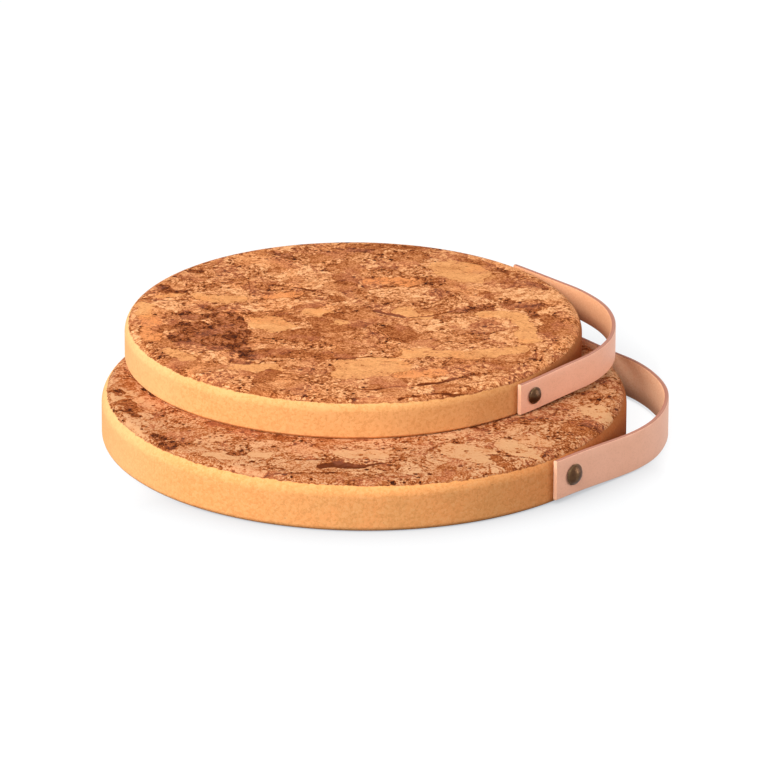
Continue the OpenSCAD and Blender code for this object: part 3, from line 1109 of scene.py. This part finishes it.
class TRIVETS_OT_cork(bpy.types.Operator):
    """Turns the two cork cores and bores them for their plugs"""

    bl_idname = "trivets.cork"
    bl_label = "Cork cores"

    def execute(self, context):
        sizes = context.scene.trivet_sizes
        for name in TRIVETS:
            trivet = Trivet(name)
            material = cork_material(trivet)
            piece = turn_about_z(f"{name}_cork_core", core_profile(trivet), material, DISC_SEGMENTS)
            bores = {
                "Bore Radius": sizes.plug_radius,
                "Bore Depth": sizes.plug_depth,
                "Rim Radius": trivet.radius,
                "Stud Step": sizes.stud_step,
                "Leave Angle": trivet.leave_angle,
                "Height": trivet.strap_middle,
                "Material": material,
            }
            apply_tree(piece, boring_tree(), bores)
            place_piece(piece, Matrix.Translation(trivet.centre))
            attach(piece, trivet.body)
            hand_over(f"{name}_core")
        return {"FINISHED"}


BARK_RELIEF = {
    "Pore Depth": 0.3 * MM,
    "Vein Depth": 0.35 * MM,
    "Crust Depth": 0.3 * MM,
    "Grain Depth": 0.15 * MM,
}
RELIEF_SEED_STEP = 40
STRAY_SEED = 1


class TRIVETS_OT_bark(bpy.types.Operator):
    """Lays the bark on both faces of each disc"""

    bl_idname = "trivets.bark"
    bl_label = "Bark faces"

    def execute(self, context):
        rings = context.scene.trivet_sizes.rings
        noise.seed_set(STRAY_SEED)
        seed = 0.0
        for name in TRIVETS:
            trivet = Trivet(name)
            layers = {"top": (True, rings, PATCHES[name]), "base": (False, rings * 2 // 3, {})}
            for side, (face_up, side_rings, patches) in layers.items():
                seed += 1.0
                node = f"{name}_{side}_bark"
                material = bark_material(f"{node}_veneer", seed, trivet)
                piece = bark_sheet(f"{node}_sheet", trivet, face_up, side_rings, patches)
                relief = {**BARK_RELIEF, "Seed": seed * RELIEF_SEED_STEP, "Material": material}
                apply_tree(piece, relief_tree(), relief)
                place_piece(piece, Matrix.Translation(trivet.centre))
                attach(piece, trivet.body)
                hand_over(node)
        return {"FINISHED"}


# The width of a strap's burnished edges, the share of its last ring that is raw, and its unwavy ends
BURNISH_WIDTH = 0.5 * MM
CUT_SHARE = 0.9
CALM_LENGTH = 26 * MM


class TRIVETS_OT_straps(bpy.types.Operator):
    """Bends a leather strip into the finger loop of each disc"""

    bl_idname = "trivets.straps"
    bl_label = "Leather straps"

    def execute(self, context):
        sizes = context.scene.trivet_sizes
        for name in TRIVETS:
            trivet = Trivet(name)
            material = leather_material(trivet)
            piece = new_line(f"{name}_leather_strap", strap_path(trivet))
            strip = {
                "Width": trivet.strap_width,
                "Thickness": sizes.leather,
                "Edge Rounding": sizes.strap_edge,
                "Burnish Width": BURNISH_WIDTH,
                "Cut Depth": sizes.cut_ring * CUT_SHARE,
                "Waviness": sizes.waviness,
                "Calm Length": CALM_LENGTH,
                "Material": material,
            }
            apply_tree(piece, strap_tree(), strip)
            place_piece(piece, Matrix.Translation(trivet.centre))
            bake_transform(piece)
            hand_over(f"{name}_strap")
        return {"FINISHED"}


class TRIVETS_OT_studs(bpy.types.Operator):
    """Turns the four domed studs, and finishes the plugs that hold them"""

    bl_idname = "trivets.studs"
    bl_label = "Studs and plugs"

    def execute(self, context):
        brass, beech = brass_material(), plug_material()
        for name in TRIVETS:
            trivet = Trivet(name)
            profile, worn = stud_profile(trivet)
            for label, side in SIDES.items():
                piece = turn_about_z(
                    f"{name}_{label}_domed_stud", profile, brass, STUD_SEGMENTS, {"worn": worn}
                )
                place_piece(piece, trivet.stud_place(side))
                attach(piece, trivet.body)
                hand_over(f"{name}_{label}_stud")
                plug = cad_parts[f"{name}_{label}_plug"]
                plug.data.materials.clear()
                plug.data.materials.append(beech)
        return {"FINISHED"}


# Each lamp's size in metres, and the azimuth and elevation in degrees that it shines from
LAMPS = {"key": (2.0, -152, 36), "front": (1.6, -112, 45), "loop": (1.4, -5, 18)}
LAMP_DISTANCE = 2.2
CAMERA_PLACE = (9.1 * MM, -3262.35 * MM, 1297.7 * MM)
FLOOR_REACH = 8.0

# The side on which the floor looks for what darkens it, and how far it looks
OPEN_SIDE = (0.1, 0.3, 0.95)
OPEN_REACH = 78 * MM


def camera_ray_share(graph):
    """1 for rays that come straight from the camera, a mirror or a glass, and 0 for soft light."""
    rays = graph.fields(graph.node("ShaderNodeLightPath"))
    seen = graph.most(rays["Is Camera Ray"], rays["Is Glossy Ray"])
    return graph.most(seen, rays["Is Transmission Ray"])


class TRIVETS_OT_stage(bpy.types.Operator):
    """Sets the floor, the light and the camera"""

    bl_idname = "trivets.stage"
    bl_label = "Stage"

    def execute(self, context):
        scene = context.scene
        settings = scene.trivet_stage
        scene.view_settings.view_transform = "Standard"
        self.floor(settings)
        self.sky(scene, settings)
        for label, (size, azimuth, elevation) in LAMPS.items():
            energy = getattr(settings, f"{label}_energy")
            self.lamp(scene, f"{label}_lamp", energy, size, math.radians(azimuth), math.radians(elevation))
        self.camera(scene, settings)
        return {"FINISHED"}

    def floor(self, settings):
        corners = [(x * FLOOR_REACH, y * FLOOR_REACH, 0) for x, y in ((-1, -1), (1, -1), (1, 1), (-1, 1))]
        piece = new_piece("floor", corners, faces=[(0, 1, 2, 3)])
        material = bpy.data.materials.new("white_floor")
        material.use_nodes = True
        graph = Graph(material.node_tree)
        graph.tree.nodes.clear()
        seen = camera_ray_share(graph)
        tone = graph.blend(seen, (0.2, 0.2, 0.2), (settings.floor_shade,) * 3)
        soft = graph.get("ShaderNodeBsdfDiffuse", {"Color": tone})

        # Painted contact shadow: occlusion darkens the floor near the trivets, masks by place keep it off on
        # the lit left side, the far right and inside the large loop, and the far right is painted whiter.
        near = {"Distance": OPEN_REACH, "Normal": OPEN_SIDE}
        open_sky = graph.get("ShaderNodeAmbientOcclusion", near, "AO", samples=16)
        place = graph.get("ShaderNodeTexCoord", output="Object")
        across = graph.axes(place)[0]
        lit_side = graph.step(across, -50 * MM, -112 * MM)
        right_side = graph.step(across, 105 * MM, 140 * MM)
        large = Trivet("large")
        bow_radius = large.bow_tip - large.bow_x
        from_bow = graph.vector("DISTANCE", place, (large.bow_x, 0.0, 0.0))
        in_loop = graph.step(from_bow, bow_radius, bow_radius - 4 * MM)
        free = graph.most(graph.most(lit_side, right_side), in_loop)
        far_white = graph.blend(right_side, (0.9, 0.905, 0.91), (0.97, 0.97, 0.97))
        white = graph.blend(graph.most(open_sky, free), tuple(settings.contact_shade), far_white)
        lift = graph.get("ShaderNodeEmission", {"Color": white, "Strength": seen})
        both = graph.get("ShaderNodeAddShader", {0: soft, 1: lift})
        graph.node("ShaderNodeOutputMaterial", {"Surface": both})
        piece.data.materials.append(material)

    def sky(self, scene, settings):
        scene.world = bpy.data.worlds.new("studio")
        scene.world.use_nodes = True
        graph = Graph(scene.world.node_tree)
        background = graph.tree.nodes["Background"]
        background.inputs["Color"].default_value = (1, 1, 1, 1)
        strength = graph.step(camera_ray_share(graph), 0.0, 1.0, settings.sky, 1.0)
        graph.feed(background.inputs["Strength"], strength)

    def lamp(self, scene, name, energy, size, azimuth, elevation):
        """A round soft lamp that shines on the trivets from a direction."""
        level = math.cos(elevation)
        direction = (math.cos(azimuth) * level, math.sin(azimuth) * level, math.sin(elevation))
        place = LAMP_DISTANCE * Vector(direction)
        light = bpy.data.lights.new(name, "AREA")
        light.shape = "DISK"
        light.size = size
        light.energy = energy
        lamp = bpy.data.objects.new(name, light)
        lamp.location = place
        lamp.rotation_euler = (-place).to_track_quat("-Z", "Y").to_euler()
        scene.collection.objects.link(lamp)

    def camera(self, scene, settings):
        view = bpy.data.cameras.new("photo_view")
        view.lens = settings.lens
        view.sensor_width = 36
        view.clip_end = 50
        camera = bpy.data.objects.new("photo_view", view)
        camera.location = CAMERA_PLACE
        tilt = Matrix.Rotation(math.pi / 2 - settings.camera_tilt, 4, "X")
        camera.rotation_euler = (tilt @ Matrix.Rotation(settings.camera_roll, 4, "Z")).to_euler()
        scene.collection.objects.link(camera)
        scene.camera = camera


STEPS = (TRIVETS_OT_stage, TRIVETS_OT_cork, TRIVETS_OT_bark, TRIVETS_OT_straps, TRIVETS_OT_studs)
SETTINGS = {"trivet_sizes": TrivetSizes, "trivet_finish": TrivetFinish, "trivet_stage": TrivetStage}


class TRIVETS_PT_panel(bpy.types.Panel):
    """Lists the steps and the settings in the sidebar"""

    bl_label = "Trivets"
    bl_idname = "TRIVETS_PT_panel"
    bl_space_type = "VIEW_3D"
    bl_region_type = "UI"
    bl_category = "Trivets"

    def draw(self, context):
        for step in STEPS:
            self.layout.operator(step.bl_idname)
        for label, kind in SETTINGS.items():
            for field in kind.__annotations__:
                self.layout.prop(getattr(context.scene, label), field)


def register():
    for kind in (*SETTINGS.values(), *STEPS, TRIVETS_PT_panel):
        bpy.utils.register_class(kind)
    for label, kind in SETTINGS.items():
        setattr(bpy.types.Scene, label, PointerProperty(type=kind))


def unregister():
    for label in SETTINGS:
        delattr(bpy.types.Scene, label)
    for kind in reversed((*SETTINGS.values(), *STEPS, TRIVETS_PT_panel)):
        bpy.utils.unregister_class(kind)


def main():
    register()
    for step in STEPS:
        group, name = step.bl_idname.split(".")
        getattr(getattr(bpy.ops, group), name)()


if __name__ == "__main__":
    main()
